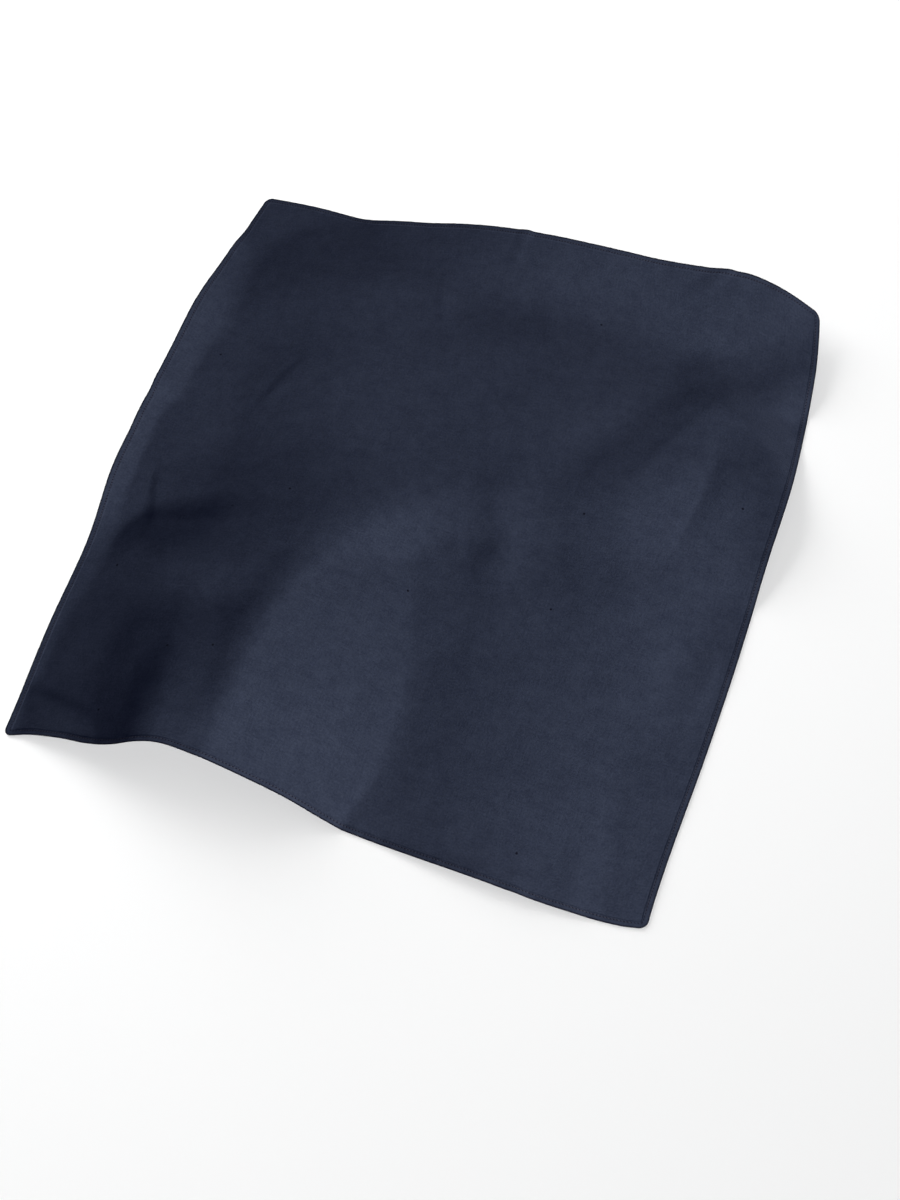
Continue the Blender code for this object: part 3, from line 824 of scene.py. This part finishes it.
def cloth_noise(tree, flat, noise):
    """One of the cotton's noises over the flat cloth."""
    scale = (noise.across, noise.along, 1.0)
    place = add_node(tree, "ShaderNodeMapping", {"Vector": flat, "Scale": scale}).outputs[0]
    inputs = {"Vector": place, "Scale": 1.0, "Detail": noise.detail, "Roughness": noise.roughness}
    return add_node(tree, "ShaderNodeTexNoise", inputs).outputs["Fac"]


def spread(tree, value, low, high, to_low=0.0, to_high=1.0):
    """The value's range from low to high, drawn out to another range and held within it."""
    inputs = {"Value": value, "From Min": low, "From Max": high, "To Min": to_low, "To Max": to_high}
    return add_node(tree, "ShaderNodeMapRange", inputs).outputs[0]


def mix_colours(tree, factor, first, second):
    """A colour that goes from the first to the second as the factor goes from 0 to 1."""
    inputs = {"Factor": factor, 6: first, 7: second}
    return add_node(tree, "ShaderNodeMix", inputs, data_type="RGBA").outputs[2]


def neps(tree, flat):
    """Rare dark specks of tangled fibre: 1 on a speck and 0 off it."""
    inputs = {"Vector": flat, "Scale": NEP_CELLS, "Randomness": 1.0}
    speck = add_node(tree, "ShaderNodeTexVoronoi", inputs, voronoi_dimensions="2D")
    lot = add_node(tree, "ShaderNodeSeparateColor", {"Color": speck.outputs["Color"]}).outputs[0]
    close = spread(tree, speck.outputs["Distance"], *NEP_SIZE, 1.0, 0.0)
    return calculate(tree, "MULTIPLY", close, spread(tree, lot, *NEP_LOT))


def hem_colour_with_shade(tree, colour):
    """The cloth's colour with painted shade along the hem's outer fold and in the holes at the
    stitches' ends.
    """
    place = add_node(tree, "ShaderNodeUVMap", uv_map="hem").outputs[0]
    axes = add_node(tree, "ShaderNodeSeparateXYZ", {"Vector": place}).outputs
    # Painted shade along the hem's outer fold.
    edge_shade = spread(tree, axes["Y"], HEM_EDGE_SHADE_FADE.low * MM, HEM_EDGE_SHADE_FADE.high * MM)
    along = calculate(tree, "PINGPONG", axes["X"], STITCH_PITCH * MM / 2)
    inwards = calculate(tree, "SUBTRACT", axes["Y"], STITCH_INWARDS * MM)
    squares = [calculate(tree, "MULTIPLY", way, way) for way in (along, inwards)]
    away = calculate(tree, "SQRT", calculate(tree, "ADD", *squares))
    # Painted shade in the holes at the stitches' ends.
    hole_shade = spread(tree, away, HOLE_SHADE_SIZE.low * MM, HOLE_SHADE_SIZE.high * MM, 1.0, 0.0)
    return mix_colours(tree, hole_shade, mix_colours(tree, edge_shade, HEM_EDGE_SHADE, colour), STITCH_HOLE_SHADE)


def cotton(name, hemmed):
    """Plain-weave cotton: uneven yarns both ways, a fine lattice of threads, neps and a soft sheen."""
    material, tree, shader = new_material(name, COTTON_SURFACE)
    flat = add_node(tree, "ShaderNodeUVMap", uv_map="rest").outputs[0]
    noises = (GRAIN, WARP, WEFT, MOTTLE, BLOTCH)
    grain, warp, weft, mottle, blotch = [cloth_noise(tree, flat, noise) for noise in noises]
    streaks = calculate(tree, "MULTIPLY", calculate(tree, "ADD", warp, weft), STREAK_SHARE)
    yarns = calculate(tree, "ADD", grain, streaks)
    mottle = calculate(tree, "MULTIPLY", mottle, MOTTLE_SHARE)
    blotch = calculate(tree, "MULTIPLY", blotch, BLOTCH_SHARE)
    shade = calculate(tree, "ADD", calculate(tree, "ADD", mottle, blotch), yarns)
    colour = mix_colours(tree, spread(tree, shade, *TINT_SUM), NAVY_DEEP, NAVY_PALE)
    colour = mix_colours(tree, neps(tree, flat), colour, NEP)
    # The hems' material adds painted shade along the outer fold and in the stitch holes.
    if hemmed:
        colour = hem_colour_with_shade(tree, colour)
    tree.links.new(colour, shader.inputs["Base Color"])

    axes = add_node(tree, "ShaderNodeSeparateXYZ", {"Vector": flat}).outputs
    turns = math.pi * THREADS
    waves = [calculate(tree, "SINE", calculate(tree, "MULTIPLY", axes[way], turns)) for way in "XY"]
    threads = calculate(tree, "MULTIPLY", calculate(tree, "MULTIPLY", *waves), THREAD_RELIEF)
    height = calculate(tree, "ADD", threads, yarns)
    inputs = {"Height": height, "Strength": BUMP_STRENGTH, "Distance": BUMP_DEPTH * MM}
    tree.links.new(add_node(tree, "ShaderNodeBump", inputs).outputs[0], shader.inputs["Normal"])
    roughness = spread(tree, yarns, *YARN_SUM, ROUGHNESS.high, ROUGHNESS.low)
    tree.links.new(roughness, shader.inputs["Roughness"])
    return material


def sewing_thread():
    """Twisted thread of a dark navy."""
    material, tree, shader = new_material("sewing_thread", THREAD_SURFACE)
    place = add_node(tree, "ShaderNodeTexCoord").outputs["Object"]
    inputs = {"Vector": place, "Scale": TWISTS, "Detail": TWIST_DETAIL}
    twist = add_node(tree, "ShaderNodeTexNoise", inputs).outputs["Fac"]
    colour = mix_colours(tree, spread(tree, twist, *TWIST_SHADE), THREAD_DEEP, THREAD_PALE)
    tree.links.new(colour, shader.inputs["Base Color"])
    return material


def add_stage(name, shape, surface):
    """An object of the stage, which isn't part of the bandana."""
    mesh = bpy.data.meshes.new(name)
    shape.to_mesh(mesh)
    shape.free()
    piece = bpy.data.objects.new(name, mesh)
    bpy.context.scene.collection.objects.link(piece)
    mesh.materials.append(new_material(name, surface)[0])
    return piece


def make_stage():
    """The pale floor, and a white backdrop round it that only the camera sees."""
    disc = bmesh.new()
    bmesh.ops.create_circle(disc, cap_ends=True, segments=FLOOR_SEGMENTS, radius=FLOOR_RADIUS)
    floor = add_stage("floor", disc, FLOOR_SURFACE)
    ball = bmesh.new()
    bmesh.ops.create_uvsphere(
        ball, u_segments=BACKDROP_SEGMENTS, v_segments=BACKDROP_RINGS, radius=BACKDROP_RADIUS
    )
    backdrop = add_stage("backdrop", ball, BACKDROP_SURFACE)
    backdrop.visible_diffuse = False
    backdrop.visible_glossy = False
    backdrop.visible_shadow = False
    return floor


def collect(name, members):
    """A collection of these objects, for a light to name."""
    collection = bpy.data.collections.new(name)
    for member in members:
        collection.objects.link(member)
    return collection


def add_area_light(light, receivers, blockers=()):
    """A square soft light that faces the cloth's middle and lights only its receivers.

    Where blockers are given, nothing else casts a shadow in it.
    """
    azimuth, elevation = math.radians(light.azimuth), math.radians(light.elevation)
    level = math.cos(elevation)
    toward = Vector((level * math.cos(azimuth), level * math.sin(azimuth), math.sin(elevation)))
    data = bpy.data.lights.new(light.name, "AREA")
    data.size = light.size
    data.energy = light.power
    data.color = light.colour
    lamp = bpy.data.objects.new(light.name, data)
    lamp.location = toward * light.distance
    lamp.rotation_mode = "QUATERNION"
    lamp.rotation_quaternion = (-toward).to_track_quat("-Z", "Y")
    bpy.context.scene.collection.objects.link(lamp)
    lamp.light_linking.receiver_collection = collect(f"{light.name}_receivers", receivers)
    if blockers:
        lamp.light_linking.blocker_collection = collect(f"{light.name}_blockers", blockers)


def set_studio(pieces, floor):
    """A low key light over the cloth from the right, a cool fill, and soft light on the floor."""
    scene = bpy.context.scene
    scene.world = bpy.data.worlds.new("studio")
    scene.world.use_nodes = True
    background = scene.world.node_tree.nodes["Background"]
    background.inputs["Color"].default_value = WORLD_COLOUR
    background.inputs["Strength"].default_value = WORLD_STRENGTH
    add_area_light(KEY, pieces)
    add_area_light(COOL_FILL, pieces)
    add_area_light(FLOOR_LIGHT, [floor])
    add_area_light(FLOOR_FILL, [floor], blockers=[floor])
    scene.view_settings.view_transform = "Standard"
    scene.view_settings.look = "None"


def set_camera():
    """The camera, where the photograph's was."""
    data = bpy.data.cameras.new("camera")
    data.sensor_width = SENSOR
    data.lens = CAMERA_LENS
    camera = bpy.data.objects.new("camera", data)
    camera.location = (CAMERA_PLACE - Vector((*MIDDLE, 0))) * MM
    camera.rotation_mode = "QUATERNION"
    level = (CAMERA_AIM - CAMERA_PLACE).to_track_quat("-Z", "Y")
    camera.rotation_quaternion = level @ Quaternion((0, 0, 1), CAMERA_ROLL)
    bpy.context.scene.collection.objects.link(camera)
    bpy.context.scene.camera = camera


def main():
    """Builds the bandana and its stage."""
    set_camera()
    cloth_material = cotton("cotton", hemmed=False)
    hem_material = cotton("cotton_hem", hemmed=True)
    cloth = make_cloth(cloth_material)
    hems = {side: make_hem(side, hem_material) for side in SIDES}
    stitches = make_stitches(sewing_thread())
    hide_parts("panel")
    for side, hem in hems.items():
        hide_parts(f"hem_{side}")
    floor = make_stage()
    set_studio([cloth, *hems.values(), stitches], floor)


main()
